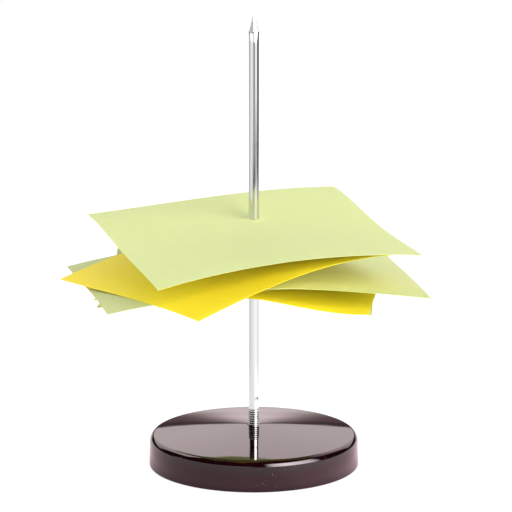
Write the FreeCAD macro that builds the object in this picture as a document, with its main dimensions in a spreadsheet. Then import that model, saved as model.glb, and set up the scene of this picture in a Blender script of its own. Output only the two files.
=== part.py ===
import FreeCAD, Part
import Sketcher
import math
import os

# Memo spike: a pointed steel rod that stands in a round moulded base, with six loose
# note sheets pushed down over its point.  Millimetres, +Z up, origin at the centre of
# the foot, on the surface that the spike stands on.

Vector = FreeCAD.Vector
Rotation = FreeCAD.Rotation

SIZES = {
    # moulded base
    "base_diameter": 71.0,
    "wall_draft": 0.25,
    "shoulder_height": 10.7,
    "shoulder_fillet": 2.0,
    "lower_edge_fillet": 0.5,
    "dome_rise": 3.2,
    "dome_peak_offset": 10.0,
    "shell_wall": 2.2,
    "rim_land": 1.2,
    "boss_diameter": 13.0,
    "boss_draft": 0.3,
    "rib_thickness": 1.6,
    "rib_count": 6,
    "bore_chamfer": 0.35,
    # foot pad, let into the rim
    "pad_thickness": 1.6,
    "pad_stand_off": 0.15,
    "pad_clearance": 0.15,
    # ballast disc under the ribs
    "ballast_thickness": 4.4,
    "ballast_clearance": 0.6,
    "ballast_chamfer": 0.5,
    "ballast_hole_clearance": 0.3,
    "counterbore_diameter": 9.5,
    "counterbore_depth": 2.7,
    # lock nut
    "nut_across_flats": 7.0,
    "nut_height": 2.2,
    # rod
    "rod_diameter": 3.5,
    "rod_exposed_length": 141.0,
    "point_length": 6.4,
    "point_hollow_radius": 84.0,
    "thread_diameter": 3.8,
    "thread_exposed_length": 5.4,
    "thread_runout": 0.5,
    "thread_clearance": 0.05,
    "tail_gap": 0.3,
    "tail_chamfer": 0.4,
    # note sheets
    "sheet_side": 90.0,
    "sheet_thickness": 0.1,
    "sheet_hole_clearance": 0.15,
}

# How each note sheet lies, from the top of the stack down.  The gap below it is measured
# where it comes closest to the sheets under it, and for the lowest sheet at the rod, down to
# the thread.  The heading turns the sheet about the rod, the hole is measured from its
# middle along and across its own sides, and the leans tip it about the Y and X axes.  The
# rest says how far the bends lift a point that lies 45 mm from the rod.
NOTES = {
    "note_sheet_1": {
        "gap_below": 2.45,
        "heading": 17.6,
        "hole_along": 5.7,
        "hole_across": 13.8,
        "lean_along": -1.7,
        "lean_across": 3.8,
        "bend_heading": 68.4,
        "bend": 3.5,
        "curl": -1.7,
        "edge_curl": -2.6,
        "cross_bend": -1.3,
        "cross_curl": 0.6,
    },
    "note_sheet_2": {
        "gap_below": 0.3,
        "heading": 32.2,
        "hole_along": 12.2,
        "hole_across": 10.2,
        "lean_along": -4.7,
        "lean_across": -3.8,
        "bend_heading": 9.7,
        "bend": -6.5,
        "curl": -0.6,
        "edge_curl": 0.3,
        "cross_bend": -0.5,
        "cross_curl": 0.5,
    },
    "note_sheet_3": {
        "gap_below": 0.2,
        "heading": 10.1,
        "hole_along": -5.2,
        "hole_across": 4.8,
        "lean_along": 3.3,
        "lean_across": -1.6,
        "bend_heading": 6.7,
        "bend": -3.9,
        "curl": 2.4,
        "edge_curl": -0.8,
        "cross_bend": -0.1,
        "cross_curl": 0.3,
    },
    "note_sheet_4": {
        "gap_below": 0.3,
        "heading": 11.3,
        "hole_along": 12.1,
        "hole_across": -0.3,
        "lean_along": -2.0,
        "lean_across": -2.3,
        "bend_heading": -7.6,
        "bend": -3.9,
        "curl": -1.5,
        "edge_curl": -0.6,
        "cross_bend": -0.3,
        "cross_curl": 0.7,
    },
    "note_sheet_5": {
        "gap_below": 0.3,
        "heading": -8.6,
        "hole_along": 2.0,
        "hole_across": -5.6,
        "lean_along": 2.9,
        "lean_across": 0.8,
        "bend_heading": -8.7,
        "bend": -8.3,
        "curl": 1.7,
        "edge_curl": 3.5,
        "cross_bend": -0.5,
        "cross_curl": 0.1,
    },
    "note_sheet_6": {
        "gap_below": 46.1,
        "heading": -2.5,
        "hole_along": 5.0,
        "hole_across": -7.6,
        "lean_along": -2.7,
        "lean_across": -4.2,
        "bend_heading": -28.3,
        "bend": -8.1,
        "curl": -2.0,
        "edge_curl": 3.1,
        "cross_bend": -0.1,
        "cross_curl": 0.2,
    },
}
BEND_REACH = 45.0
SURFACE_STATIONS = 9

# Where two sheets are compared: how many places along each side, and how many steps to
# find the height of a bent sheet over a given place.
CONTACT_STATIONS = 31
CONTACT_STEPS = 4


class Size:
    """A length together with the expression that ties it to the sheet of sizes."""

    def __init__(self, value, text):
        self.value = value
        self.text = text

    def __add__(self, other):
        return Size(self.value + other.value, "(" + self.text + " + " + other.text + ")")

    def __sub__(self, other):
        return Size(self.value - other.value, "(" + self.text + " - " + other.text + ")")

    def __mul__(self, other):
        return Size(self.value * other.value, "(" + self.text + " * " + other.text + ")")

    def __truediv__(self, other):
        return Size(self.value / other.value, "(" + self.text + " / " + other.text + ")")


def size(alias):
    return Size(SIZES[alias], "Sizes." + alias)


def number(value):
    return Size(value, str(value))


def root(length):
    return Size(math.sqrt(length.value), "sqrt(" + length.text + ")")


ZERO = number(0)
HALF = number(0.5)

# Radii and heights that several pieces share.

base_radius = size("base_diameter") * HALF
rod_radius = size("rod_diameter") * HALF
thread_radius = size("thread_diameter") * HALF
rim_height = size("pad_stand_off")
pad_top = size("pad_thickness")
seat_radius = base_radius - size("rim_land")
pad_radius = seat_radius - size("pad_clearance")
inner_radius = base_radius - size("shell_wall")
ballast_top = pad_top + size("ballast_thickness")
ballast_radius = inner_radius - size("ballast_clearance")
counterbore_top = pad_top + size("counterbore_depth")
nut_bottom = counterbore_top - size("nut_height")
boss_radius = size("boss_diameter") * HALF
bore_radius = thread_radius + size("thread_clearance")
shoulder_radius = base_radius - size("wall_draft")
dome_top = size("shoulder_height") + size("dome_rise")
thread_top = dome_top + size("thread_exposed_length")
tip_height = dome_top + size("rod_exposed_length")

# The dome is one arc turned about the axis.  Its centre lies past the axis, so that the dome
# comes to a shallow peak at the rod.
dome_reach = shoulder_radius * shoulder_radius + shoulder_radius * size("dome_peak_offset") * number(2)
dome_depth = (dome_reach / size("dome_rise") + size("dome_rise")) * HALF
dome_centre_x = ZERO - size("dome_peak_offset")
dome_centre_z = dome_top - dome_depth
dome_radius = root(size("dome_peak_offset") * size("dome_peak_offset") + dome_depth * dome_depth)
ceiling_radius = dome_radius - size("shell_wall")

doc = FreeCAD.newDocument("MemoSpike")


def write_sizes():
    """Put every driving size in the sheet, as a plain number with its name as alias."""
    sheet = doc.addObject("Spreadsheet::Sheet", "Sizes")
    row = 1
    for alias, value in SIZES.items():
        sheet.set("A" + str(row), alias)
        sheet.set("B" + str(row), str(value))
        sheet.setAlias("B" + str(row), alias)
        row += 1
    for note, lie in NOTES.items():
        for key, value in lie.items():
            alias = note + "_" + key
            sheet.set("A" + str(row), alias)
            sheet.set("B" + str(row), str(value))
            sheet.setAlias("B" + str(row), alias)
            row += 1
    doc.recompute()
    return sheet


def new_body(label):
    body = doc.addObject("PartDesign::Body", label)
    body.Label = label
    return body


def origin_feature(body, role):
    for feature in body.Origin.OriginFeatures:
        if feature.Role == role:
            return feature
    raise ValueError("no origin feature " + role)


def new_sketch(body, name, role):
    sketch = body.newObject("Sketcher::SketchObject", name)
    sketch.AttachmentSupport = [(origin_feature(body, role), "")]
    sketch.MapMode = "FlatFace"
    return sketch


class Corner:
    """One corner of a profile; a free height is left to the arc that ends there."""

    def __init__(self, across, up, free_height=False):
        self.across = across
        self.up = up
        self.free_height = free_height

    def point(self):
        return Vector(self.across.value, self.up.value, 0)


class RoundSide:
    """A side drawn as an arc, held by its centre, by its radius or by both."""

    def __init__(self, centre_across, centre_up, radius, held_by=("centre",)):
        self.centre_across = centre_across
        self.centre_up = centre_up
        self.radius = radius
        self.held_by = held_by

    def geometry(self, here, there):
        """The short arc between two corners, and whether it starts at the first of them."""
        centre = Vector(self.centre_across.value, self.centre_up.value, 0)
        circle = Part.Circle(centre, Vector(0, 0, 1), self.radius.value)
        angle_here = math.atan2(here.y - centre.y, here.x - centre.x)
        angle_there = math.atan2(there.y - centre.y, there.x - centre.x)
        sweep = math.remainder(angle_there - angle_here, 2 * math.pi)
        if sweep > 0:
            return Part.ArcOfCircle(circle, angle_here, angle_here + sweep), True
        return Part.ArcOfCircle(circle, angle_there, angle_there - sweep), False

    def height_at(self, across):
        """Height of the arc's upper half at a distance from the axis."""
        reach = across.value - self.centre_across.value
        return number(self.centre_up.value + math.sqrt(self.radius.value ** 2 - reach ** 2))


def tie(sketch, kind, where, length, name):
    """Add a named dimension and tie it to its expression."""
    index = sketch.addConstraint(Sketcher.Constraint(kind, *where, length.value))
    sketch.renameConstraint(index, name)
    sketch.setExpression("Constraints." + name, length.text)


def draw_profile(sketch, corners, round_sides):
    """Draw a closed profile whose corners are tied to the sizes across and up."""
    count = len(corners)
    starts = []
    ends = []
    for side in range(count):
        here = corners[side].point()
        there = corners[(side + 1) % count].point()
        starts_here = True
        if side in round_sides:
            shape, starts_here = round_sides[side].geometry(here, there)
        else:
            shape = Part.LineSegment(here, there)
        sketch.addGeometry(shape, False)
        starts.append(1 if starts_here else 2)
        ends.append(2 if starts_here else 1)
    for side in range(count):
        following = (side + 1) % count
        where = (side, ends[side], following, starts[following])
        sketch.addConstraint(Sketcher.Constraint("Coincident", *where))
    for side, corner in enumerate(corners):
        where = (side, starts[side])
        if corner.across is ZERO:
            sketch.addConstraint(Sketcher.Constraint("PointOnObject", *where, -2))
        else:
            tie(sketch, "DistanceX", (-1, 1) + where, corner.across, "across_" + str(side))
        if not corner.free_height:
            tie(sketch, "DistanceY", (-1, 1) + where, corner.up, "up_" + str(side))
    for side, arc in round_sides.items():
        if "centre" in arc.held_by:
            where = (-1, 1, side, 3)
            tie(sketch, "DistanceX", where, arc.centre_across, "centre_across_" + str(side))
            tie(sketch, "DistanceY", where, arc.centre_up, "centre_up_" + str(side))
        if "radius" in arc.held_by:
            tie(sketch, "Radius", (side,), arc.radius, "radius_" + str(side))


def turned(body, name, corners, round_sides):
    """Turn a profile drawn in the XZ plane about the vertical axis."""
    sketch = new_sketch(body, name + "_profile", "XZ_Plane")
    draw_profile(sketch, corners, round_sides)
    turn = body.newObject("PartDesign::Revolution", name)
    turn.Profile = sketch
    turn.ReferenceAxis = (sketch, ["V_Axis"])
    turn.Angle = 360
    doc.recompute()
    return turn


def circle_edges(feature, radius, height):
    """Names of the circular edges of a feature at a radius and a height."""
    names = []
    for index, edge in enumerate(feature.Shape.Edges):
        if not isinstance(edge.Curve, Part.Circle):
            continue
        at_radius = abs(edge.Curve.Radius - radius) < 1e-3
        at_height = abs(edge.Curve.Center.z - height) < 1e-3
        if at_radius and at_height:
            names.append("Edge" + str(index + 1))
    return names


def dress(body, kind, name, base, edges, amount_property, amount):
    """Fillet or chamfer the named edges of a feature, by a size from the sheet."""
    feature = body.newObject("PartDesign::" + kind, name)
    feature.Base = (base, edges)
    setattr(feature, amount_property, amount.value)
    feature.setExpression(amount_property, amount.text)
    doc.recompute()
    return feature


def make_base_shell():
    """Moulded cap: drafted wall, round shoulder, shallow dome, and a bored boss with ribs."""
    body = new_body("base_shell")
    dome = RoundSide(dome_centre_x, dome_centre_z, dome_radius)
    ceiling = RoundSide(dome_centre_x, dome_centre_z, ceiling_radius, ("centre", "radius"))
    boss_root = boss_radius + size("boss_draft")
    ceiling_edge = shoulder_radius - size("shell_wall")
    corners = [
        Corner(seat_radius, rim_height),
        Corner(base_radius, rim_height),
        Corner(shoulder_radius, size("shoulder_height")),
        Corner(bore_radius, dome.height_at(bore_radius), free_height=True),
        Corner(bore_radius, ballast_top),
        Corner(boss_radius, ballast_top),
        Corner(boss_root, ceiling.height_at(boss_root), free_height=True),
        Corner(ceiling_edge, ceiling.height_at(ceiling_edge), free_height=True),
        Corner(inner_radius, pad_top),
        Corner(seat_radius, pad_top),
    ]
    cap = turned(body, "cap", corners, {2: dome, 6: ceiling})
    shoulder = circle_edges(cap, shoulder_radius.value, SIZES["shoulder_height"])
    rounded = dress(body, "Fillet", "shoulder", cap, shoulder, "Radius", size("shoulder_fillet"))
    lower = circle_edges(rounded, base_radius.value, rim_height.value)
    eased = dress(body, "Fillet", "lower_edge", rounded, lower, "Radius", size("lower_edge_fillet"))
    mouth = circle_edges(eased, bore_radius.value, dome.height_at(bore_radius).value)
    mouthed = dress(body, "Chamfer", "bore_mouth", eased, mouth, "Size", size("bore_chamfer"))
    add_ribs(body, mouthed)
    return body


def add_ribs(body, base):
    """Radial ribs from the boss to the wall, rooted in both and in the dome."""
    sketch = new_sketch(body, "rib_profile", "XZ_Plane")
    inner_end = boss_radius - size("shell_wall") * HALF
    outer_end = inner_radius + size("shell_wall") * HALF - size("wall_draft")
    top_at_boss = dome_top - size("shell_wall") * HALF
    top_at_wall = size("shoulder_height") - size("shell_wall") * number(0.75)
    corners = [
        Corner(inner_end, ballast_top),
        Corner(outer_end, ballast_top),
        Corner(outer_end, top_at_wall),
        Corner(inner_end, top_at_boss),
    ]
    draw_profile(sketch, corners, {})
    rib = body.newObject("PartDesign::Pad", "rib")
    rib.Profile = sketch
    rib.Midplane = True
    rib.setExpression("Length", "Sizes.rib_thickness")
    doc.recompute()
    ribs = body.newObject("PartDesign::PolarPattern", "ribs")
    ribs.Originals = [rib]
    ribs.Axis = (origin_feature(body, "Z_Axis"), [""])
    ribs.Angle = 360
    ribs.setExpression("Occurrences", "Sizes.rib_count")
    body.Tip = ribs
    doc.recompute()


def make_ballast():
    """Heavy disc between the ribs and the pad, counterbored from below for the lock nut."""
    body = new_body("ballast_disc")
    hole = thread_radius + size("ballast_hole_clearance")
    counterbore = size("counterbore_diameter") * HALF
    corners = [
        Corner(counterbore, pad_top),
        Corner(ballast_radius, pad_top),
        Corner(ballast_radius, ballast_top),
        Corner(hole, ballast_top),
        Corner(hole, counterbore_top),
        Corner(counterbore, counterbore_top),
    ]
    disc = turned(body, "disc", corners, {})
    rims = circle_edges(disc, ballast_radius.value, pad_top.value)
    rims += circle_edges(disc, ballast_radius.value, ballast_top.value)
    dress(body, "Chamfer", "rims", disc, rims, "Size", size("ballast_chamfer"))
    return body


def make_lock_nut():
    """Thin hexagon nut that pulls the rod, the ballast and the boss together."""
    prism = doc.addObject("Part::Prism", "nut_hexagon")
    prism.Polygon = 6
    prism.setExpression("Circumradius", "Sizes.nut_across_flats / sqrt(3)")
    prism.setExpression("Height", "Sizes.nut_height")
    bore = doc.addObject("Part::Cylinder", "nut_bore")
    bore.setExpression("Radius", bore_radius.text)
    bore.setExpression("Height", "Sizes.nut_height")
    nut = doc.addObject("Part::Cut", "lock_nut")
    nut.Label = "lock_nut"
    nut.Base = prism
    nut.Tool = bore
    nut.setExpression("Placement.Base.z", nut_bottom.text)
    doc.recompute()
    return nut


def make_foot_pad():
    """Soft disc that fills the rim and stands a little below it."""
    pad = doc.addObject("Part::Cylinder", "foot_pad")
    pad.Label = "foot_pad"
    pad.setExpression("Radius", pad_radius.text)
    pad.setExpression("Height", "Sizes.pad_thickness")
    doc.recompute()
    return pad


def make_rod():
    """Steel rod: rolled thread at the foot, plain shank, and a long hollow-ground point."""
    body = new_body("spike_rod")
    tail = pad_top + size("tail_gap")
    point_base = tip_height - size("point_length")
    # The flank of the point bends inwards, so its centre stands off outside the rod.
    half_rise = size("point_length") * HALF
    half_run = rod_radius * HALF
    hollow = size("point_hollow_radius")
    half_chord_squared = half_rise * half_rise + half_run * half_run
    stand_off = root(hollow * hollow / half_chord_squared - number(1))
    flank_across = half_run + half_rise * stand_off
    flank_up = tip_height - half_rise + half_run * stand_off
    flank = RoundSide(flank_across, flank_up, hollow, ("radius",))
    corners = [
        Corner(ZERO, tail),
        Corner(thread_radius - size("tail_chamfer"), tail),
        Corner(thread_radius, tail + size("tail_chamfer")),
        Corner(thread_radius, thread_top),
        Corner(rod_radius, thread_top + size("thread_runout")),
        Corner(rod_radius, point_base),
        Corner(ZERO, tip_height),
    ]
    turned(body, "rod", corners, {5: flank})
    return body


def sheet_lift(lie, along, across):
    """Lift of a note sheet off its own flat plane, at a place measured from the rod."""
    turn = math.radians(lie["bend_heading"])
    bend_way = (along * math.cos(turn) + across * math.sin(turn)) / BEND_REACH
    cross_way = (across * math.cos(turn) - along * math.sin(turn)) / BEND_REACH
    bend = lie["bend"] * bend_way ** 2
    curl = lie["curl"] * bend_way ** 3
    edge_curl = lie["edge_curl"] * bend_way ** 4
    cross_bend = lie["cross_bend"] * cross_way ** 2
    cross_curl = lie["cross_curl"] * cross_way ** 3
    return bend + curl + edge_curl + cross_bend + cross_curl


def sheet_points(lie, stations):
    """Rows of points over the bent square, measured from the rod in the sheet's own axes."""
    side = SIZES["sheet_side"]
    step = side / (stations - 1)
    rows = []
    for i in range(stations):
        along = i * step - side / 2 - lie["hole_along"]
        row = []
        for j in range(stations):
            across = j * step - side / 2 - lie["hole_across"]
            row.append(Vector(along, across, sheet_lift(lie, along, across)))
        rows.append(row)
    return rows


def sheet_rotation(lie):
    heading = Rotation(Vector(0, 0, 1), lie["heading"])
    lean_along = Rotation(Vector(0, 1, 0), lie["lean_along"])
    lean_across = Rotation(Vector(1, 0, 0), lie["lean_across"])
    return lean_along.multiply(lean_across).multiply(heading)


def height_over(lie, place):
    """Height of a sheet's underside above its hole, over a place, or None off the sheet."""
    rotation = sheet_rotation(lie)
    level = 0.0
    for _ in range(CONTACT_STEPS):
        own = rotation.inverted().multVec(Vector(place.x, place.y, level))
        level += sheet_lift(lie, own.x, own.y) - own.z
    half = SIZES["sheet_side"] / 2
    beyond = max(abs(own.x + lie["hole_along"]), abs(own.y + lie["hole_across"]))
    return level if beyond <= half else None


def needed_rise(upper, lower):
    """How far the upper sheet's hole must lie above the lower one's for the two to touch."""
    rises = [0.0]
    for row in sheet_points(upper, CONTACT_STATIONS):
        for point in row:
            place = sheet_rotation(upper).multVec(point)
            below = height_over(lower, place)
            if below is not None:
                rises.append(below - place.z)
    for row in sheet_points(lower, CONTACT_STATIONS):
        for point in row:
            place = sheet_rotation(lower).multVec(point)
            above = height_over(upper, place)
            if above is not None:
                rises.append(place.z - above)
    return max(rises) + SIZES["sheet_thickness"]


def hole_heights():
    """Heights of the holes on the rod, each sheet laid on those below with its gap."""
    heights = {}
    for label, lie in reversed(NOTES.items()):
        if not heights:
            heights[label] = thread_top.value + lie["gap_below"]
            continue
        rests = [heights[below] + needed_rise(lie, NOTES[below]) for below in heights]
        heights[label] = max(rests) + lie["gap_below"]
    return heights


def sheet_solid(lie):
    """A square sheet bent to its lie, with the round hole that the rod made."""
    surface = Part.BSplineSurface()
    surface.interpolate(sheet_points(lie, SURFACE_STATIONS))
    sheet = surface.toShape().extrude(Vector(0, 0, SIZES["sheet_thickness"]))
    hole_radius = SIZES["rod_diameter"] / 2 + SIZES["sheet_hole_clearance"]
    rod_way = sheet_rotation(lie).inverted().multVec(Vector(0, 0, 1))
    reach = SIZES["point_length"]
    hole = Part.makeCylinder(hole_radius, 2 * reach, rod_way * -reach, rod_way)
    return sheet.cut(hole)


def make_note_sheets():
    """The note sheets from the lowest up, each at its own height on the rod."""
    sheets = []
    for label, height in hole_heights().items():
        sheet = doc.addObject("Part::Feature", label)
        sheet.Label = label
        sheet.Shape = sheet_solid(NOTES[label])
        sheet.Placement = FreeCAD.Placement(Vector(0, 0, height), sheet_rotation(NOTES[label]))
        sheets.append(sheet)
    doc.recompute()
    return sheets


def check_and_export(pieces):
    """Stop on any failed object or shape, then write one file for each piece."""
    for item in doc.Objects:
        if "Invalid" in item.State or "Error" in item.State:
            raise RuntimeError(item.Name + " failed: " + str(item.State))
    for piece in pieces:
        if piece.Shape.isNull() or not piece.Shape.isValid():
            raise RuntimeError(piece.Label + " has no valid shape")
    os.makedirs("parts", exist_ok=True)
    for piece in pieces:
        piece.Shape.exportStep("parts/" + piece.Label + ".step")
        print(piece.Label, len(piece.Shape.Solids), "solid", round(piece.Shape.Volume, 2), "mm3")


write_sizes()
pieces = [make_base_shell(), make_ballast(), make_lock_nut(), make_foot_pad(), make_rod()]
pieces += make_note_sheets()
check_and_export(pieces)
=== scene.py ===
import math

import bmesh
import bpy
from mathutils import Matrix, Vector


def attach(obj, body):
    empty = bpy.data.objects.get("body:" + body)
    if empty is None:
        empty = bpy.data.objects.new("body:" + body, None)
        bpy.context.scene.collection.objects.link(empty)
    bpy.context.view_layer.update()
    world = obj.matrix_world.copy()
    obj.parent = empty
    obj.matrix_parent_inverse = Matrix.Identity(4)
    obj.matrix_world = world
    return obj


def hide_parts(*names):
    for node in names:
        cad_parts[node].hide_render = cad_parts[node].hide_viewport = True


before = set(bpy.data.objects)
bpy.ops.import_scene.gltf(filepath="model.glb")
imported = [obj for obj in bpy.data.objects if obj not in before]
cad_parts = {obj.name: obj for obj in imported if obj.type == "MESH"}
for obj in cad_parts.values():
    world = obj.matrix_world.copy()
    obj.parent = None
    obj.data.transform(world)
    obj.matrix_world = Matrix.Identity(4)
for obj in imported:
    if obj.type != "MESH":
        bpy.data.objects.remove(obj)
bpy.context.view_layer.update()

# All sizes below are millimetres and degrees until a mesh is made.
MM = 0.001

BASE_RADIUS = 35.5
WALL_DRAFT = 0.25
SHOULDER_HEIGHT = 10.7
SHOULDER_LOWER = 2.9
SHOULDER_UPPER = 1.2
SHOULDER_SPLIT = 48.0
LOWER_EDGE_FILLET = 0.5
DOME_RISE = 3.2
DOME_PEAK_OFFSET = 22.0
SHELL_WALL = 2.2
RIM_HEIGHT = 0.15
RIM_LAND = 1.2
PAD_THICKNESS = 1.6
PAD_CLEARANCE = 0.15
PAD_FILLET = 0.25
BALLAST_TOP = 6.0
BOSS_RADIUS = 6.5
BOSS_DRAFT = 0.3
BORE_RADIUS = 1.95
BORE_CHAMFER = 0.35

ROD_RADIUS = 1.75
ROD_TAIL = 1.9
THREAD_RADIUS = 1.9
THREAD_PITCH = 0.8
THREAD_DEPTH = 0.3
THREAD_EXPOSED = 5.4
THREAD_RUNOUT = 0.4
THREAD_ROOT_FLAT = 0.05
THREAD_FLANK = 0.19
TAIL_CHAMFER = 0.4
ROD_EXPOSED = 141.0
POINT_LENGTH = 6.4
POINT_HOLLOW_RADIUS = 84.0

SHEET_SIDE = 90.0
SHEET_THICKNESS = 0.1
SHEET_HOLE_CLEARANCE = 0.15
BEND_REACH = 45.0
HOLE_RIM = 0.35
HOLE_RIM_REACH = 1.4
DRAW_IN_FRONT = -60.0
DRAW_IN_BACK = 40.0

# How finely the turned pieces and the sheets are meshed.
BASE_SEGMENTS = 256
EDGE_STEPS = 8
SHOULDER_LOWER_STEPS = 20
SHOULDER_UPPER_STEPS = 14
DOME_STEPS = 72
CEILING_STEPS = 12
PAD_SEGMENTS = 192
PAD_EDGE_STEPS = 4
ROD_SEGMENTS = 96
THREAD_ROWS_PER_TURN = 16
SHANK_STEPS = 24
POINT_STEPS = 24
SHEET_STEPS_PER_SIDE = 40
SHEET_RINGS = 48
SHEET_RING_CROWDING = 1.6

DOME_TOP = SHOULDER_HEIGHT + DOME_RISE
THREAD_TOP = DOME_TOP + THREAD_EXPOSED
TIP_HEIGHT = DOME_TOP + ROD_EXPOSED
POINT_BASE = TIP_HEIGHT - POINT_LENGTH

# The camera stands where a perspective fit of the base, the rod and the sheets puts it.
CAMERA_DISTANCE = 1200.0
CAMERA_HEIGHT = 346.1
CAMERA_SIDE = 0.71
CAMERA_PITCH = 12.846
CAMERA_SIGHT = 20000.0
FOCAL_PIXELS = 3663.7
FRAME_PIXELS = 512.0
SENSOR_WIDTH = 36.0

# How each note sheet lies, as in the CAD model. Two entries are this script's own: easing keeps
# the sides of the top sheet straight, and draw_in holds the factors that move a sheet's left and
# right sides in or out, each at the front and at the back.
NOTES = {
    "note_sheet_1": {
        "hole_height": 85.053,
        "heading": 17.6,
        "hole_along": 5.7,
        "hole_across": 13.8,
        "lean_along": -1.7,
        "lean_across": 3.8,
        "bend_heading": 68.4,
        "bend": 3.5,
        "curl": -1.7,
        "edge_curl": -2.6,
        "cross_bend": -1.3,
        "cross_curl": 0.6,
        "easing": (-0.36, 0.71, -1.06, 1.27, -2.87, 1.05),
        "draw_in": ((1.0, 0.973), (0.985, 0.985)),
        "paper": "green_paper",
    },
    "note_sheet_2": {
        "hole_height": 76.957,
        "heading": 32.2,
        "hole_along": 12.2,
        "hole_across": 10.2,
        "lean_along": -4.7,
        "lean_across": -3.8,
        "bend_heading": 9.7,
        "bend": -6.5,
        "curl": -0.6,
        "edge_curl": 0.3,
        "cross_bend": -0.5,
        "cross_curl": 0.5,
        "draw_in": ((0.945, 1.013), (0.95, 0.95)),
        "paper": "yellow_paper",
    },
    "note_sheet_3": {
        "hole_height": 72.446,
        "heading": 10.1,
        "hole_along": -5.2,
        "hole_across": 4.8,
        "lean_along": 3.3,
        "lean_across": -1.6,
        "bend_heading": 6.7,
        "bend": -3.9,
        "curl": 2.4,
        "edge_curl": -0.8,
        "cross_bend": -0.1,
        "cross_curl": 0.3,
        "paper": "green_paper",
    },
    "note_sheet_4": {
        "hole_height": 70.31,
        "heading": 11.3,
        "hole_along": 12.1,
        "hole_across": -0.3,
        "lean_along": -2.0,
        "lean_across": -2.3,
        "bend_heading": -7.6,
        "bend": -3.9,
        "curl": -1.5,
        "edge_curl": -0.6,
        "cross_bend": -0.3,
        "cross_curl": 0.7,
        "paper": "green_paper",
    },
    "note_sheet_5": {
        "hole_height": 68.797,
        "heading": -8.6,
        "hole_along": 2.0,
        "hole_across": -5.6,
        "lean_along": 2.9,
        "lean_across": 0.8,
        "bend_heading": -8.7,
        "bend": -8.3,
        "curl": 1.7,
        "edge_curl": 3.5,
        "cross_bend": -0.5,
        "cross_curl": 0.1,
        "draw_in": ((1.0, 1.0), (1.03, 0.95)),
        "paper": "yellow_paper",
    },
    "note_sheet_6": {
        "hole_height": 65.4,
        "heading": -2.5,
        "hole_along": 5.0,
        "hole_across": -7.6,
        "lean_along": -2.7,
        "lean_across": -4.2,
        "bend_heading": -28.3,
        "bend": -8.1,
        "curl": -2.0,
        "edge_curl": 3.1,
        "cross_bend": -0.1,
        "cross_curl": 0.2,
        "paper": "green_paper",
    },
}


# Mesh helpers

ON_AXIS = 1e-6


def finished_piece(name, bm, smooth_angle=30.0):
    """Make an object from a bmesh in millimetres, with outward normals and smooth shading."""
    bmesh.ops.recalc_face_normals(bm, faces=bm.faces[:])
    bmesh.ops.scale(bm, vec=(MM, MM, MM), verts=bm.verts[:])
    mesh = bpy.data.meshes.new(name)
    bm.to_mesh(mesh)
    bm.free()
    piece = bpy.data.objects.new(name, mesh)
    bpy.context.scene.collection.objects.link(piece)
    for face in mesh.polygons:
        face.use_smooth = True
    mesh.set_sharp_from_angle(angle=math.radians(smooth_angle))
    return piece


def place(piece, material, node):
    """Give a piece its material, and put it where its CAD solid is."""
    piece.data.materials.append(material)
    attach(piece, "root")
    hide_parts(node)


def add_ring(bm, height, radii):
    """A level ring of vertices about Z, with one radius for each."""
    ring = []
    for k, radius in enumerate(radii):
        angle = math.tau * k / len(radii)
        ring.append(bm.verts.new((radius * math.cos(angle), radius * math.sin(angle), height)))
    return ring


def join_rings(bm, first, second):
    """Quads between two rings with the same number of vertices."""
    for k in range(len(first)):
        following = (k + 1) % len(first)
        bm.faces.new((first[k], second[k], second[following], first[following]))


def add_fan(bm, ring, tip):
    """Triangles between a ring and one vertex."""
    for k in range(len(ring)):
        bm.faces.new((ring[k], ring[(k + 1) % len(ring)], tip))


def add_lathe(bm, profile, segments):
    """Turn a profile of (radius, height) about Z; a point on the axis becomes one vertex."""
    rings = []
    for radius, height in profile:
        if radius < ON_AXIS:
            rings.append([bm.verts.new((0, 0, height))])
        else:
            rings.append(add_ring(bm, height, [radius] * segments))
    for low, high in zip(rings, rings[1:] + rings[:1]):
        if len(low) > 1 and len(high) > 1:
            join_rings(bm, low, high)
        elif len(high) > 1:
            add_fan(bm, high, low[0])
        elif len(low) > 1:
            add_fan(bm, low, high[0])


def arc(centre, radius, start, end, steps):
    """Points of an arc in the profile plane, from one angle in radians to another."""
    points = []
    for k in range(steps + 1):
        angle = start + (end - start) * k / steps
        points.append((centre[0] + radius * math.cos(angle), centre[1] + radius * math.sin(angle)))
    return points


def eased(share):
    """Smooth rise from 0 to 1, level before and after."""
    share = min(1.0, max(0.0, share))
    return share * share * (3 - 2 * share)


# The base

# Halvings that bring the shoulder to the dome closer than a mesh can show.
SHOULDER_HALVINGS = 40


def dome_arc():
    """Centre and radius of the dome's arc, whose centre lies past the axis."""
    reach = BASE_RADIUS - WALL_DRAFT
    depth = ((reach * reach + 2 * reach * DOME_PEAK_OFFSET) / DOME_RISE + DOME_RISE) / 2
    return (-DOME_PEAK_OFFSET, DOME_TOP - depth), math.hypot(DOME_PEAK_OFFSET, depth)


def dome_height(radius, wall=0.0):
    """Height of the dome at a radius, or of the ceiling that lies a wall's thickness inside it."""
    centre, dome_radius = dome_arc()
    return centre[1] + math.sqrt((dome_radius - wall) ** 2 - (radius - centre[0]) ** 2)


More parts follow.
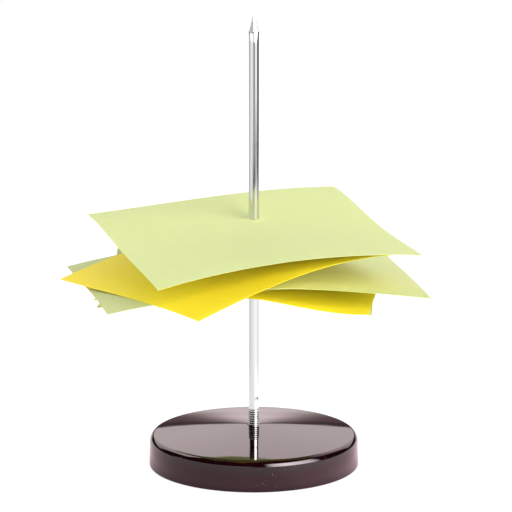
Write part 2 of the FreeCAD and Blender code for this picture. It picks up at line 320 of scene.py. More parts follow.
def shoulder_arcs():
    """Centres of the gentle lower arc and the tight upper arc, and where each one ends."""
    centre, dome_radius = dome_arc()
    lean = math.atan2(WALL_DRAFT, SHOULDER_HEIGHT - RIM_HEIGHT)
    split = math.radians(SHOULDER_SPLIT)
    shift = SHOULDER_LOWER - SHOULDER_UPPER
    low = 0.0
    high = SHOULDER_HEIGHT
    # Halve the range of heights until the shoulder touches the wall and the dome alike.
    for _ in range(SHOULDER_HALVINGS):
        height = (low + high) / 2
        wall_radius = BASE_RADIUS - WALL_DRAFT + (SHOULDER_HEIGHT - height) * math.tan(lean)
        across = wall_radius - SHOULDER_LOWER / math.cos(lean)
        upper = (across + shift * math.cos(split), height + shift * math.sin(split))
        if math.hypot(upper[0] - centre[0], upper[1] - centre[1]) + SHOULDER_UPPER < dome_radius:
            low = height
        else:
            high = height
    dome_angle = math.atan2(upper[1] - centre[1], upper[0] - centre[0])
    return (across, height), upper, lean, split, dome_angle


def shell_profile():
    """Closed section of the moulded cap, from the rim round the outside and back inside."""
    edge = LOWER_EDGE_FILLET
    lower_centre, upper_centre, wall_angle, split, dome_angle = shoulder_arcs()
    centre, dome_radius = dome_arc()
    bore_angle = math.acos((BORE_RADIUS + BORE_CHAMFER - centre[0]) / dome_radius)
    ceiling_edge = BASE_RADIUS - WALL_DRAFT - SHELL_WALL
    profile = [(BASE_RADIUS - RIM_LAND, RIM_HEIGHT)]
    profile += arc((BASE_RADIUS - edge, RIM_HEIGHT + edge), edge, -math.pi / 2, 0, EDGE_STEPS)
    profile += arc(lower_centre, SHOULDER_LOWER, wall_angle, split, SHOULDER_LOWER_STEPS)
    profile += arc(upper_centre, SHOULDER_UPPER, split, dome_angle, SHOULDER_UPPER_STEPS)[1:]
    profile += arc(centre, dome_radius, dome_angle, bore_angle, DOME_STEPS)[1:]
    profile.append((BORE_RADIUS, dome_height(BORE_RADIUS) - BORE_CHAMFER))
    profile.append((BORE_RADIUS, BALLAST_TOP))
    profile.append((BOSS_RADIUS, BALLAST_TOP))
    profile.append((BOSS_RADIUS + BOSS_DRAFT, dome_height(BOSS_RADIUS + BOSS_DRAFT, SHELL_WALL)))
    for k in range(1, CEILING_STEPS + 1):
        radius = BOSS_RADIUS + (ceiling_edge - BOSS_RADIUS) * k / CEILING_STEPS
        profile.append((radius, dome_height(radius, SHELL_WALL)))
    profile.append((BASE_RADIUS - SHELL_WALL, PAD_THICKNESS))
    profile.append((BASE_RADIUS - RIM_LAND, PAD_THICKNESS))
    return profile


def make_base_shell():
    bm = bmesh.new()
    add_lathe(bm, shell_profile(), BASE_SEGMENTS)
    place(finished_piece("moulded_base", bm), base_plastic(), "base_shell")


def make_foot_pad():
    bm = bmesh.new()
    radius = BASE_RADIUS - RIM_LAND - PAD_CLEARANCE
    profile = [(0, 0)]
    profile += arc((radius - PAD_FILLET, PAD_FILLET), PAD_FILLET, -math.pi / 2, 0, PAD_EDGE_STEPS)
    profile += [(radius, PAD_THICKNESS), (0, PAD_THICKNESS)]
    add_lathe(bm, profile, PAD_SEGMENTS)
    place(finished_piece("foam_foot", bm), foam_rubber(), "foot_pad")


# The rod

def point_profile():
    """Flank of the ground point, hollow like a shallow arc, from the shank to the tip."""
    half_rise = POINT_LENGTH / 2
    half_run = ROD_RADIUS / 2
    stand_off = math.sqrt(POINT_HOLLOW_RADIUS ** 2 / (half_rise ** 2 + half_run ** 2) - 1)
    centre = (half_run + half_rise * stand_off, TIP_HEIGHT - half_rise + half_run * stand_off)
    start = math.atan2(POINT_BASE - centre[1], ROD_RADIUS - centre[0])
    end = math.atan2(TIP_HEIGHT - centre[1], -centre[0])
    sweep = math.remainder(end - start, math.tau)
    points = arc(centre, POINT_HOLLOW_RADIUS, start, start + sweep, POINT_STEPS)
    points[-1] = (0, TIP_HEIGHT)
    return points


def thread_radius(height, angle):
    """Radius of the rolled thread: round crests with a narrow helical groove between them."""
    turn = (height - ROD_TAIL) / THREAD_PITCH - angle / math.tau
    from_groove = abs(turn - round(turn)) * THREAD_PITCH
    groove = eased((from_groove - THREAD_ROOT_FLAT) / THREAD_FLANK)
    radius = THREAD_RADIUS - THREAD_DEPTH * (1 - groove)
    # The thread runs out into the plain shank, and starts behind a chamfer at the tail.
    share = eased((height - THREAD_TOP + THREAD_RUNOUT) / (2 * THREAD_RUNOUT))
    radius += (ROD_RADIUS - radius) * share
    return min(radius, THREAD_RADIUS - TAIL_CHAMFER + height - ROD_TAIL)


def rod_rings(bm):
    """Rings up the thread, the plain shank and the ground point."""
    angles = [math.tau * k / ROD_SEGMENTS for k in range(ROD_SEGMENTS)]
    top = THREAD_TOP + THREAD_RUNOUT
    rows = int((top - ROD_TAIL) / THREAD_PITCH * THREAD_ROWS_PER_TURN)
    rings = []
    for i in range(rows + 1):
        height = ROD_TAIL + (top - ROD_TAIL) * i / rows
        rings.append(add_ring(bm, height, [thread_radius(height, angle) for angle in angles]))
    for i in range(1, SHANK_STEPS):
        height = top + (POINT_BASE - top) * i / SHANK_STEPS
        rings.append(add_ring(bm, height, [ROD_RADIUS] * ROD_SEGMENTS))
    for radius, height in point_profile()[:-1]:
        rings.append(add_ring(bm, height, [radius] * ROD_SEGMENTS))
    return rings


def make_rod():
    bm = bmesh.new()
    rings = rod_rings(bm)
    for low, high in zip(rings, rings[1:]):
        join_rings(bm, low, high)
    add_fan(bm, rings[0], bm.verts.new((0, 0, ROD_TAIL)))
    add_fan(bm, rings[-1], bm.verts.new((0, 0, TIP_HEIGHT)))
    place(finished_piece("steel_rod", bm, smooth_angle=50.0), plated_steel(), "spike_rod")


# The note sheets

def sheet_lift(lie, along, across):
    """Lift of a sheet off its own flat plane, at a place measured from the rod."""
    turn = math.radians(lie["bend_heading"])
    bend_way = (along * math.cos(turn) + across * math.sin(turn)) / BEND_REACH
    cross_way = (across * math.cos(turn) - along * math.sin(turn)) / BEND_REACH
    lift = lie["bend"] * bend_way ** 2 + lie["curl"] * bend_way ** 3 + lie["edge_curl"] * bend_way ** 4
    return lift + lie["cross_bend"] * cross_way ** 2 + lie["cross_curl"] * cross_way ** 3


def small_relief(lie, along, across):
    """Lift of the torn rim at the rod, and the easing that keeps a sheet's sides straight."""
    reach = math.hypot(along, across)
    lift = HOLE_RIM * math.exp(-((reach - ROD_RADIUS) / HOLE_RIM_REACH) ** 2)
    half = SHEET_SIDE / 2
    p = (along + lie["hole_along"]) / half
    q = (across + lie["hole_across"]) / half
    terms = (1.0, p, p * p, q, p * q, p * p * q)
    return lift + (1 - q * q) * sum(share * term for share, term in zip(lie.get("easing", ()), terms))


def sheet_matrix(lie):
    """Turn a sheet by its heading, lean it both ways and lift it to where its hole is."""
    heading = Matrix.Rotation(math.radians(lie["heading"]), 4, "Z")
    lean_along = Matrix.Rotation(math.radians(lie["lean_along"]), 4, "Y")
    lean_across = Matrix.Rotation(math.radians(lie["lean_across"]), 4, "X")
    return Matrix.Translation((0, 0, lie["hole_height"])) @ lean_along @ lean_across @ heading


def drawn_in(lie, point):
    """Move a point in or out by its side's factors, which change from the front to the back."""
    if "draw_in" in lie:
        front, back = lie["draw_in"][0 if point.x < 0 else 1]
        depth = (point.y - DRAW_IN_FRONT) / (DRAW_IN_BACK - DRAW_IN_FRONT)
        point.x *= front + (back - front) * min(max(depth, 0), 1)
    return point


def boundary_points(lie):
    """Points round the square's edge, as (along, across) from the rod, corners included."""
    half = SHEET_SIDE / 2
    corners = [(-half, -half), (half, -half), (half, half), (-half, half)]
    points = []
    for corner, following in zip(corners, corners[1:] + corners[:1]):
        for step in range(SHEET_STEPS_PER_SIDE):
            share = step / SHEET_STEPS_PER_SIDE
            along = corner[0] + (following[0] - corner[0]) * share - lie["hole_along"]
            across = corner[1] + (following[1] - corner[1]) * share - lie["hole_across"]
            points.append((along, across))
    return points


def sheet_rings(bm, lie):
    """Rings of vertices from the rod's hole out to the edge, for the upper and lower faces."""
    matrix = sheet_matrix(lie)
    hole_radius = ROD_RADIUS + SHEET_HOLE_CLEARANCE
    edge = boundary_points(lie)
    tops = []
    bottoms = []
    for i in range(SHEET_RINGS + 1):
        share = (i / SHEET_RINGS) ** SHEET_RING_CROWDING
        top_ring = []
        bottom_ring = []
        for along, across in edge:
            reach = math.hypot(along, across)
            radius = hole_radius + (reach - hole_radius) * share
            u = along / reach * radius
            w = across / reach * radius
            lift = sheet_lift(lie, u, w) + small_relief(lie, u, w)
            for ring, rise in ((top_ring, lift + SHEET_THICKNESS), (bottom_ring, lift)):
                ring.append(bm.verts.new(drawn_in(lie, matrix @ Vector((u, w, rise)))))
        tops.append(top_ring)
        bottoms.append(bottom_ring)
    return tops, bottoms


def make_note_sheet(node, lie, material):
    """A square sheet of paper with the rod's hole through it."""
    bm = bmesh.new()
    tops, bottoms = sheet_rings(bm, lie)
    for inner, outer in zip(tops, tops[1:]):
        join_rings(bm, inner, outer)
    for inner, outer in zip(bottoms, bottoms[1:]):
        join_rings(bm, outer, inner)
    join_rings(bm, bottoms[0], tops[0])
    join_rings(bm, tops[-1], bottoms[-1])
    piece = finished_piece(node.replace("note_sheet", "paper_note"), bm, smooth_angle=60.0)
    place(piece, material, node)


def make_note_sheets():
    papers = {slot: note_paper(slot) for slot in PAPER_COLOURS}
    for node, lie in NOTES.items():
        make_note_sheet(node, lie, papers[lie["paper"]])


# Shader arithmetic

class Paint:
    """Shader nodes on one tree. Values are sockets, plain numbers or colours."""

    def __init__(self, tree):
        self.nodes = tree.nodes
        self.links = tree.links

    def feed(self, socket, value):
        if isinstance(value, bpy.types.NodeSocket):
            self.links.new(value, socket)
        else:
            socket.default_value = value

    def math(self, operation, *values):
        node = self.nodes.new("ShaderNodeMath")
        node.operation = operation
        for socket, value in zip(node.inputs, values):
            self.feed(socket, value)
        return node.outputs[0]

    def add(self, *values):
        total = values[0]
        for value in values[1:]:
            total = self.math("ADD", total, value)
        return total

    def times(self, *values):
        product = values[0]
        for value in values[1:]:
            product = self.math("MULTIPLY", product, value)
        return product

    def rest(self, share):
        """What a share leaves of 1."""
        return self.math("SUBTRACT", 1.0, share)

    def blend(self, share, low, high):
        return self.add(self.times(low, self.rest(share)), self.times(high, share))

    def length(self, *parts):
        return self.math("SQRT", self.add(*[self.times(part, part) for part in parts]))

    def distance(self, parts, point):
        return self.length(*[self.math("SUBTRACT", part, target) for part, target in zip(parts, point)])

    def degrees(self, operation, *values):
        """An angle by its arc function, turned from radians to degrees."""
        return self.times(self.math(operation, *values), 180 / math.pi)

    def step(self, value, low, high):
        """Smooth rise from 0 at low to 1 at high, or fall where low is the larger."""
        node = self.nodes.new("ShaderNodeMapRange")
        node.interpolation_type = "SMOOTHSTEP"
        falls = low > high
        self.feed(node.inputs["Value"], value)
        node.inputs["From Min"].default_value = min(low, high)
        node.inputs["From Max"].default_value = max(low, high)
        node.inputs["To Min"].default_value = 1.0 if falls else 0.0
        node.inputs["To Max"].default_value = 0.0 if falls else 1.0
        return node.outputs["Result"]

    def window(self, value, low, high, soft):
        """1 between low and high, with soft edges centred on both."""
        rise = self.step(value, low - soft / 2, low + soft / 2)
        fall = self.step(value, high + soft / 2, high - soft / 2)
        return self.times(rise, fall)

    def curve(self, value, stops):
        """Straight lines through (input, output) pairs, level beyond both ends."""
        first = stops[0][0]
        span = stops[-1][0] - first
        peak = max(output for _, output in stops)
        share = self.math("DIVIDE", self.math("SUBTRACT", value, first), span)
        node = self.nodes.new("ShaderNodeValToRGB")
        self.links.new(share, node.inputs["Fac"])
        elements = node.color_ramp.elements
        while len(elements) < len(stops):
            elements.new(0.5)
        for element, (place_in, _) in zip(elements, stops):
            element.position = (place_in - first) / span
        for element, (_, output) in zip(elements, stops):
            level = output / peak
            element.color = (level, level, level, 1)
        return self.times(node.outputs["Color"], peak)

    def parts(self, vector):
        node = self.nodes.new("ShaderNodeSeparateXYZ")
        self.links.new(vector, node.inputs[0])
        return node.outputs

    def place(self):
        """The place on the object, in metres."""
        return self.nodes.new("ShaderNodeTexCoord").outputs["Object"]

    def millimetres(self):
        """The place on the object, as three numbers in millimetres."""
        return [self.times(part, 1 / MM) for part in self.parts(self.place())]

    def rays(self):
        return self.nodes.new("ShaderNodeLightPath").outputs

    def noise(self, where, scale, detail=3.0):
        """Noise of a given scale per metre, from 0 to 1."""
        node = self.nodes.new("ShaderNodeTexNoise")
        node.inputs["Scale"].default_value = scale
        node.inputs["Detail"].default_value = detail
        self.links.new(where, node.inputs["Vector"])
        return node.outputs["Fac"]

    def cells(self, where, scale):
        """Distance to the middle of the nearest cell, at a given scale per metre."""
        node = self.nodes.new("ShaderNodeTexVoronoi")
        node.inputs["Scale"].default_value = scale
        self.links.new(where, node.inputs["Vector"])
        return node.outputs["Distance"]

    def mix(self, share, plain, other):
        """Colour between two others, each a colour or a socket."""
        node = self.nodes.new("ShaderNodeMix")
        node.data_type = "RGBA"
        self.feed(node.inputs["Factor"], share)
        self.feed(node.inputs["A"], plain)
        self.feed(node.inputs["B"], other)
        return node.outputs["Result"]

    def relief(self, shader, height, depth):
        """Bump of a depth in millimetres."""
        node = self.nodes.new("ShaderNodeBump")
        node.inputs["Distance"].default_value = depth * MM
        self.links.new(height, node.inputs["Height"])
        self.links.new(node.outputs["Normal"], shader.inputs["Normal"])


# Materials

MAROON = (0.006, 0.0008, 0.0014, 1)
MAROON_GLINT = (1.0, 0.85, 0.88, 1)
DUST_COLOUR = (0.16, 0.13, 0.12, 1)
STEEL_COLOUR = (0.68, 0.68, 0.69, 1)
BARE_COLOUR = (0.92, 0.91, 0.9, 1)
# Painted shade for the thread's roots, also the colour of the shank's blemish.
ROOT_SHADE_AND_BLEMISH_COLOUR = (0.16, 0.13, 0.13, 1)
WHITE = (1, 1, 1, 1)

# Two close tones of each mottled surface.
FOAM_TONES = ((0.004, 0.004, 0.004, 1), (0.02, 0.019, 0.019, 1))
IRON_TONES = ((0.13, 0.125, 0.12, 1), (0.24, 0.235, 0.23, 1))
ZINC_TONES = ((0.48, 0.48, 0.5, 1), (0.62, 0.62, 0.62, 1))
PAPER_COLOURS = {
    "green_paper": ((0.55, 0.615, 0.25, 1), (0.59, 0.655, 0.27, 1)),
    "yellow_paper": ((0.97, 0.72, 0.02, 1), (1.0, 0.76, 0.03, 1)),
}

# Dust lies on the base where a fine noise peaks inside the patches of a coarse one.
DUST_SPECKS = (0.77, 0.8)
DUST_PATCHES = (0.45, 0.65)
DUST_COVER = 0.25
DUST_ROUGHNESS = 0.4

# Haze from handling the base, as a range of its noise and of the roughness that it gives.
HAZE_PATCHES = (0.4, 0.7)
HAZE_ROUGHNESS = (0.035, 0.06)

# The rod's plate varies in this range. The thread's roots, where shade is painted, and the ground point
# are rougher.
PLATE_ROUGHNESS = (0.07, 0.11)
ROOT_SHADE_ROUGHNESS = 0.45
GROUND_ROUGHNESS = 0.4

# Depth of each surface's relief.
MOULDING_RIPPLE = 0.02
FOAM_PITS = 0.08
SHANK_RIPPLE = 0.01
PAPER_FIBRES = 0.03
IRON_PITS = 0.1

# Painted shade in the thread's roots begins and is full at these depths below the thread's crest, and
# ends with the thread.
ROOT_SHADE_BEGINS = 0.12
ROOT_SHADE_FULL = 0.3
ROOT_SHADE_END = 0.1

# Height over which the ground point's finish begins.
GRIND_EDGE = 0.3

# A small dull spot low on the shank, and the radii where it begins and is full.
BLEMISH = (1.0, -1.4, 23.2)
BLEMISH_RADIUS = 1.0
BLEMISH_CORE = 0.4
BLEMISH_SPECKLE = (0.3, 0.6)

# Light spreads this far inside the paper, less in blue.
PAPER_SPREAD = 0.06
PAPER_SPREAD_BY_COLOUR = (1.0, 1.0, 0.6)
FIBRE_STRETCH = (1.0, 0.3, 1.0)


def new_material(name):
    material = bpy.data.materials.new(name)
    material.use_nodes = True
    return material, Paint(material.node_tree), material.node_tree.nodes["Principled BSDF"]


def base_plastic():
    """Dark maroon gloss moulding with a faint ripple, handling haze and a few dust specks."""
    material, paint, shader = new_material("maroon_gloss_plastic")
    where = paint.place()
    shader.inputs["IOR"].default_value = 1.5
    shader.inputs["Specular Tint"].default_value = MAROON_GLINT
    specks = paint.step(paint.noise(where, scale=1400.0, detail=0.0), *DUST_SPECKS)
    patches = paint.step(paint.noise(where, scale=60.0), *DUST_PATCHES)
    dust = paint.times(specks, patches, DUST_COVER)
    paint.feed(shader.inputs["Base Color"], paint.mix(dust, MAROON, DUST_COLOUR))
    haze = paint.step(paint.noise(where, scale=90.0), *HAZE_PATCHES)
    rough = paint.add(paint.blend(haze, *HAZE_ROUGHNESS), paint.times(dust, DUST_ROUGHNESS))
    paint.feed(shader.inputs["Roughness"], rough)
    paint.relief(shader, paint.noise(where, scale=110.0, detail=1.0), MOULDING_RIPPLE)
    return material


def foam_rubber():
    """Matte black foam with fine open cells."""
    material, paint, shader = new_material("black_foam_rubber")
    cells = paint.cells(paint.place(), scale=2600.0)
    paint.feed(shader.inputs["Base Color"], paint.mix(cells, *FOAM_TONES))
    shader.inputs["Roughness"].default_value = 0.9
    paint.relief(shader, cells, FOAM_PITS)
    return material


def plated_steel():
    """Bright plate, ground rougher at the point, with painted shade darkening the thread's roots, which
    are rougher too.
    """
    material, paint, shader = new_material("plated_steel")
    where = paint.place()
    x, y, z = paint.millimetres()
    shader.inputs["Metallic"].default_value = 1.0
    # Painted shade darkens the thread's roots, between these depths and below the thread's top.
    painted_root_shade = paint.times(
        paint.step(paint.length(x, y), THREAD_RADIUS - ROOT_SHADE_BEGINS, THREAD_RADIUS - ROOT_SHADE_FULL),
        paint.step(z, THREAD_TOP + ROOT_SHADE_END, THREAD_TOP - ROOT_SHADE_END),
    )
    bruise = paint.times(
        paint.step(paint.distance((x, y, z), BLEMISH), BLEMISH_RADIUS, BLEMISH_CORE),
        paint.step(paint.noise(where, scale=900.0), *BLEMISH_SPECKLE),
    )
    ground = paint.step(z, POINT_BASE, POINT_BASE + GRIND_EDGE)
    bare = paint.mix(ground, STEEL_COLOUR, BARE_COLOUR)
    # The thread's roots and the blemish take the same dark colour; in the roots it is painted shade.
    tone = paint.mix(paint.math("MAXIMUM", painted_root_shade, bruise), bare, ROOT_SHADE_AND_BLEMISH_COLOUR)
    paint.feed(shader.inputs["Base Color"], tone)
    streaks = paint.blend(paint.noise(where, scale=300.0), *PLATE_ROUGHNESS)
    finish = paint.add(streaks, paint.times(ground, GROUND_ROUGHNESS))
    root_roughness = paint.times(painted_root_shade, ROOT_SHADE_ROUGHNESS)
    paint.feed(shader.inputs["Roughness"], paint.math("MAXIMUM", root_roughness, finish))
    paint.relief(shader, paint.noise(where, scale=160.0, detail=2.0), SHANK_RIPPLE)
    return material


def note_paper(slot):
    """Thin dyed paper: light passes through it, and it is mottled and faintly fibrous."""
    material, paint, shader = new_material(slot)
    where = paint.place()
    cloud = paint.noise(where, scale=250.0, detail=6.0)
    paint.feed(shader.inputs["Base Color"], paint.mix(cloud, *PAPER_COLOURS[slot]))
    shader.inputs["Roughness"].default_value = 0.6
    shader.inputs["Specular IOR Level"].default_value = 0.22
    shader.inputs["Subsurface Weight"].default_value = 0.9
    shader.inputs["Subsurface Radius"].default_value = PAPER_SPREAD_BY_COLOUR
    shader.inputs["Subsurface Scale"].default_value = PAPER_SPREAD * MM
    stretch = paint.nodes.new("ShaderNodeMapping")
    stretch.inputs["Scale"].default_value = FIBRE_STRETCH
    paint.feed(stretch.inputs["Vector"], where)
    fibres = paint.noise(stretch.outputs["Vector"], scale=2600.0, detail=4.0)
    paint.relief(shader, fibres, PAPER_FIBRES)
    return material


def iron():
    """Cast iron under a film of oil, pitted by the sand mould."""
    material, paint, shader = new_material("oiled_iron")
    grain = paint.noise(paint.place(), scale=700.0, detail=5.0)
    paint.feed(shader.inputs["Base Color"], paint.mix(grain, *IRON_TONES))
    shader.inputs["Metallic"].default_value = 1.0
    shader.inputs["Roughness"].default_value = 0.5
    paint.relief(shader, grain, IRON_PITS)
    return material


def zinc():
    """Zinc plate with the bright and dull crystals of its spangle."""
    material, paint, shader = new_material("zinc_plate")
    spangle = paint.cells(paint.place(), scale=1500.0)
    paint.feed(shader.inputs["Base Color"], paint.mix(spangle, *ZINC_TONES))
    shader.inputs["Metallic"].default_value = 1.0
    shader.inputs["Roughness"].default_value = 0.35
    return material


def dress_inner_nodes():
    for node, material in (("ballast_disc", iron()), ("lock_nut", zinc())):
        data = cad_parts[node].data
        data.materials.clear()
        data.materials.append(material)


# The table

TABLE_LEFT = -700.0
TABLE_RIGHT = 520.0
TABLE_FRONT = -500.0
TABLE_BACK = 900.0
TABLE_DROP = 0.05

# Light that the table gives to the camera, and to matt surfaces above it.
TABLE_WHITE = 0.8
FLOOR_FILL = 0.6

# Tone of the table for plain rays, for the camera and for rays that a gloss mirrors.
TABLE_PALE = (0.85, 0.85, 0.85, 1)
TABLE_SEEN = (0.35, 0.35, 0.35, 1)
TABLE_MIRRORED = (0.06, 0.06, 0.06, 1)

# Mirrored brightness by heading from the base, 0 away from the camera and 90 to the right.
TABLE_NEAR = [
    (-180, 1.16),
    (-154, 1.04),
    (-118, 1.04),
    (-90, 1.04),
    (-63, 1.1),
    (0, 1.05),
    (56, 1.4),
    (90, 1.4),
    (114, 1.75),
    (145, 1.7),
    (162, 1.29),
    (180, 1.11),
]
TABLE_MIDDLE = [
    (-180, 1.2),
    (-149, 1.03),
    (-125, 1.0),
    (-98, 0.85),
    (-64, 0.87),
    (0, 1.0),
    (92, 1.08),
    (120, 1.27),
    (144, 1.32),
    (167, 1.24),
    (180, 1.2),
]
TABLE_FAR = [
    (-180, 0.02),
    (-172, 0.06),
    (-162, 0.3),
    (-150, 0.8),
    (-127, 1.08),
    (-101, 0.9),
    (-69, 0.58),
    (0, 0.8),
    (57, 0.5),
    (93, 0.65),
    (120, 0.9),
    (144, 0.45),
    (156, 0.15),
    (166, 0.0),
    (180, 0.02),
]

# Reach from the axis at which one ring of the table passes into the next.
NEAR_TO_MIDDLE = (85, 150)
MIDDLE_TO_FAR = (320, 400)

# The table's glow has a painted shadow against the foot of the base, and fades out along its right
# edge.
TABLE_FOOT_SHADOW = [(35, 0.6), (42, 1.0)]
TABLE_FADE = (TABLE_RIGHT - 20, TABLE_RIGHT - 90)

# The table beside the base carries a painted reflection of the base's colour, seen only by glossy rays,
# out to this reach.
TABLE_PAINTED_REFLECTION = (1.0, 0.74, 0.82, 1)
PAINTED_REFLECTION_FADE = (52, 72)


def table_paint():
    """White to the camera, and as bright to a gloss as each part of the table is there."""
    material, paint, shader = new_material("studio_table")
    x, y, _ = paint.millimetres()
    reach = paint.length(x, y)
    heading = paint.degrees("ARCTAN2", x, y)
    # Near the base, the glow that glossy rays mirror dims in a painted shadow at the foot.
    near = paint.times(paint.curve(heading, TABLE_NEAR), paint.curve(reach, TABLE_FOOT_SHADOW))
    middle = paint.curve(heading, TABLE_MIDDLE)
    around = paint.blend(paint.step(reach, *NEAR_TO_MIDDLE), near, middle)
    far = paint.curve(heading, TABLE_FAR)
    lit = paint.times(
        paint.blend(paint.step(reach, *MIDDLE_TO_FAR), around, far),
        paint.step(x, *TABLE_FADE),
    )
    rays = paint.rays()
    glossy = rays["Is Glossy Ray"]
    camera = rays["Is Camera Ray"]
    glow = paint.add(
        paint.times(lit, glossy),
        paint.times(camera, TABLE_WHITE),
        paint.times(rays["Is Diffuse Ray"], FLOOR_FILL),
    )
    unmirrored = paint.mix(camera, TABLE_PALE, TABLE_SEEN)
    paint.feed(shader.inputs["Base Color"], paint.mix(glossy, unmirrored, TABLE_MIRRORED))
    # Glossy rays see the table's glow tinted near the base: a painted reflection of the base.
    outside_painted_reflection = paint.math("MAXIMUM", paint.step(reach, *PAINTED_REFLECTION_FADE), paint.rest(glossy))
    paint.feed(shader.inputs["Emission Color"], paint.mix(outside_painted_reflection, TABLE_PAINTED_REFLECTION, WHITE))
    paint.feed(shader.inputs["Emission Strength"], glow)
    shader.inputs["Roughness"].default_value = 1.0
    shader.inputs["Specular IOR Level"].default_value = 0.0
    return material


def make_floor():
    """The white table under the object."""
    bm = bmesh.new()
    bmesh.ops.create_grid(bm, x_segments=1, y_segments=1, size=0.5)
    size = (TABLE_RIGHT - TABLE_LEFT, TABLE_BACK - TABLE_FRONT, 1)
    bmesh.ops.scale(bm, vec=size, verts=bm.verts[:])
    centre = Vector(((TABLE_RIGHT + TABLE_LEFT) / 2, (TABLE_BACK + TABLE_FRONT) / 2, -TABLE_DROP))
    bmesh.ops.translate(bm, vec=centre, verts=bm.verts[:])
    floor = finished_piece("studio_table", bm)
    floor.data.materials.append(table_paint())


# The studio

# The studio is drawn by direction, in degrees. A heading is 0 behind the object and 90 at its
# right. An arch angle goes from the horizon behind, over the top, to the front. A side angle is
# measured from the plane through front and back. A curve is a list of (angle, brightness), and a
# window is (from, to, width of its soft ends).
HORIZON_SAG = [(0, 1.4), (2, 1.2), (3, 1.3), (4.5, 2.0), (12, 2.0), (40, 0)]

# The tent above and behind, by its arch angle, on the left and on the right.
TENT_LEFT = [(14, 1.6), (20, 2.05), (30, 2.55), (45, 3.4), (60, 4.6), (75, 5.8), (90, 5.8)]
TENT_RIGHT = [(14, 1.55), (20, 1.95), (30, 2.45), (45, 2.8), (60, 2.8), (75, 2.0), (90, 1.0)]
TENT_LEFT_TO_RIGHT = (-8, 12)
TENT_ARCH = (14.2, 88, 1.2)
TENT_SIDES = (-52, 50, 10)

# A narrow glow straight behind the object, by its height, with the tent's dark seam across it.
GLOW_RISE = [(-1, 0.1), (3, 0.4), (5, 0.7), (8, 1.5), (10, 1.25), (14, 1.1)]
GLOW_HALF_WIDTH = 2.25
GLOW_SQUARENESS = 3.0
SEAM_ARCH = (12.9, 15, 0.5)
SEAM_TURN = (0.9, 1.4)
SEAM_DARKNESS = 0.8

# The low sill and the dim wall behind the object.
SILL_RISE = [(0, 0.85), (4.5, 0.75), (6.5, 0.1), (8, 0)]
WALL_RISE = [(4.5, 0), (6.5, 0.24), (11, 0.22), (12, 0.13), (14, 0.11)]
WALL_ARCH = (0, 14.2, 1.2)
WALL_ELEVATION = (0, 20, 0.5)
WALL_HEADING = (-22, 22, 12)

# The strip light at the front right, and a low glow along the left.
STRIP_CURVE = [(102, 0), (112, 10), (130, 15), (145, 18), (158, 12), (168, 0)]
STRIP_ELEVATION = (0, 38, 6)
LOW_GLOW = 1.5
LOW_GLOW_HEADING = (-178, -85, 14)
LOW_GLOW_ELEVATION = (-1, 8, 4)

# What a gloss mirrors from below the horizon, past the edges of the table.
BELOW_CURVE = [
    (-180, 0.35),
    (-172, 0.5),
    (-160, 1.05),
    (-133, 1.25),
    (-108, 1.0),
    (-79, 0.65),
    (-56, 0.6),
    (0, 1.0),
    (30, 0.35),
    (46, 0.2),
    (85, 0.06),
    (99, 0.12),
    (110, 1.2),
    (138, 1.5),
    (150, 1.0),
    (160, 0.45),
    (172, 0.35),
    (180, 0.35),
]
BELOW_EDGE = (0, -1)
AMBIENT = 0.003

# Matt surfaces get a share of the tent and the strip, and three fill lights of their own.
TENT_SHARE = 0.215
STRIP_SHARE = 0.55
LEFT_FILL = 0.7
LEFT_FILL_HEADING = (-150, -50, 20)
LEFT_FILL_ELEVATION = (-4, 50, 10)
FRONT_FILL = 0.4
FRONT_FILL_ARCH = (88, 178, 6)
LOW_FILL = 1.25
LOW_FILL_ELEVATION = (-4, 16, 6)

# The tent's light has a faint red cast, and the wall's a stronger one.
TENT_COLOUR = (1.0, 0.865, 0.875, 1)
WALL_COLOUR = (1.0, 0.62, 0.67, 1)


class Directions:
    """Angles of a ray's direction, as sockets in degrees."""

    def __init__(self, paint):
        x, y, z = paint.parts(paint.nodes.new("ShaderNodeTexCoord").outputs["Generated"])
        self.elevation = paint.degrees("ARCSINE", z)
        self.heading = paint.degrees("ARCTAN2", x, y)
        self.arch = paint.degrees("ARCTAN2", z, y)
        self.side = paint.degrees("ARCSINE", x)
        self.turn = paint.math("ABSOLUTE", self.heading)
        # The edges of the tent and the wall sag with the horizon.
        sag = paint.curve(self.turn, HORIZON_SAG)
        self.level = paint.add(self.arch, sag)
        self.rise = paint.add(self.elevation, sag)


def tent_light(paint, way):
    left = paint.curve(way.arch, TENT_LEFT)
    right = paint.curve(way.arch, TENT_RIGHT)
    return paint.times(
        paint.blend(paint.step(way.side, *TENT_LEFT_TO_RIGHT), left, right),
        paint.window(way.level, *TENT_ARCH),
        paint.window(way.side, *TENT_SIDES),
    )


def light_behind(paint, way):
    """The narrow glow with the sill below it, and the dim wall round them."""
    behind = paint.times(
        paint.window(way.level, *WALL_ARCH),
        paint.window(way.elevation, *WALL_ELEVATION),
        paint.window(way.heading, *WALL_HEADING),
    )
    aside = paint.math("ABSOLUTE", paint.math("DIVIDE", way.heading, GLOW_HALF_WIDTH))
    fall = paint.math("POWER", aside, GLOW_SQUARENESS)
    seam = paint.times(paint.window(way.level, *SEAM_ARCH), paint.step(way.turn, *SEAM_TURN))
    glow = paint.times(
        paint.curve(way.rise, GLOW_RISE),
        paint.math("EXPONENT", paint.times(fall, -1.0)),
        paint.rest(paint.times(seam, SEAM_DARKNESS)),
    )
    sill = paint.curve(way.rise, SILL_RISE)
    wall = paint.curve(way.rise, WALL_RISE)
    return paint.times(paint.add(glow, sill), behind), paint.times(wall, behind)


def strip_light(paint, way):
    bright = paint.curve(way.heading, STRIP_CURVE)
    return paint.times(bright, paint.window(way.elevation, *STRIP_ELEVATION))


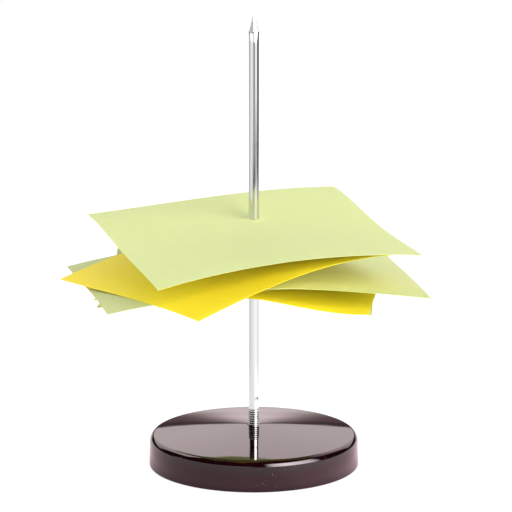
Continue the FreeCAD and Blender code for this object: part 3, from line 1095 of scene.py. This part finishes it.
def low_light(paint, way):
    """The low glow at the left, what lies below the horizon, and a trace of light all round."""
    glow = paint.times(
        paint.window(way.heading, *LOW_GLOW_HEADING),
        paint.window(way.elevation, *LOW_GLOW_ELEVATION),
        LOW_GLOW,
    )
    below = paint.times(
        paint.curve(way.heading, BELOW_CURVE),
        paint.step(way.elevation, *BELOW_EDGE),
    )
    return paint.add(glow, below, AMBIENT)


def matt_light(paint, way, warm, strip):
    """Light on surfaces without a gloss."""
    left = paint.times(
        paint.window(way.heading, *LEFT_FILL_HEADING),
        paint.window(way.elevation, *LEFT_FILL_ELEVATION),
    )
    return paint.add(
        paint.times(warm, TENT_SHARE),
        paint.times(strip, STRIP_SHARE),
        paint.times(left, LEFT_FILL),
        paint.times(paint.window(way.arch, *FRONT_FILL_ARCH), FRONT_FILL),
        paint.times(paint.window(way.elevation, *LOW_FILL_ELEVATION), LOW_FILL),
    )


def show_lights(paint, lights):
    """Give the world the sum of lights, each a colour and a strength."""
    glows = []
    for colour, strength in lights:
        background = paint.nodes.new("ShaderNodeBackground")
        paint.feed(background.inputs["Color"], colour)
        paint.feed(background.inputs["Strength"], strength)
        glows.append(background.outputs[0])
    total = glows[0]
    for glow in glows[1:]:
        both = paint.nodes.new("ShaderNodeAddShader")
        paint.links.new(total, both.inputs[0])
        paint.links.new(glow, both.inputs[1])
        total = both.outputs[0]
    output = paint.nodes.new("ShaderNodeOutputWorld")
    paint.links.new(total, output.inputs["Surface"])


def make_world():
    """Studio round the object: a tent above and behind, a strip light at the front right."""
    world = bpy.data.worlds.new("studio")
    bpy.context.scene.world = world
    world.use_nodes = True
    paint = Paint(world.node_tree)
    paint.nodes.clear()
    way = Directions(paint)
    glow, wall = light_behind(paint, way)
    warm = paint.add(tent_light(paint, way), glow)
    strip = strip_light(paint, way)
    rays = paint.rays()
    glossy = rays["Is Glossy Ray"]
    camera = rays["Is Camera Ray"]
    other_rays = paint.rest(paint.math("MAXIMUM", glossy, camera))
    neutral = paint.add(
        paint.times(glossy, paint.add(strip, low_light(paint, way))),
        paint.times(other_rays, matt_light(paint, way, warm, strip)),
        camera,
    )
    lights = [
        (WHITE, neutral),
        (TENT_COLOUR, paint.times(glossy, warm)),
        (WALL_COLOUR, paint.times(glossy, wall)),
    ]
    show_lights(paint, lights)


def make_camera():
    data = bpy.data.cameras.new("camera")
    data.sensor_width = SENSOR_WIDTH
    data.lens = FOCAL_PIXELS / FRAME_PIXELS * SENSOR_WIDTH
    data.clip_end = CAMERA_SIGHT * MM
    camera = bpy.data.objects.new("camera", data)
    camera.location = Vector((CAMERA_SIDE, -CAMERA_DISTANCE, CAMERA_HEIGHT)) * MM
    camera.rotation_euler = (math.radians(90 - CAMERA_PITCH), 0, 0)
    bpy.context.scene.collection.objects.link(camera)
    bpy.context.scene.camera = camera


make_base_shell()
make_foot_pad()
make_rod()
make_note_sheets()
dress_inner_nodes()
make_floor()
make_world()
make_camera()
bpy.context.scene.view_settings.view_transform = "Standard"
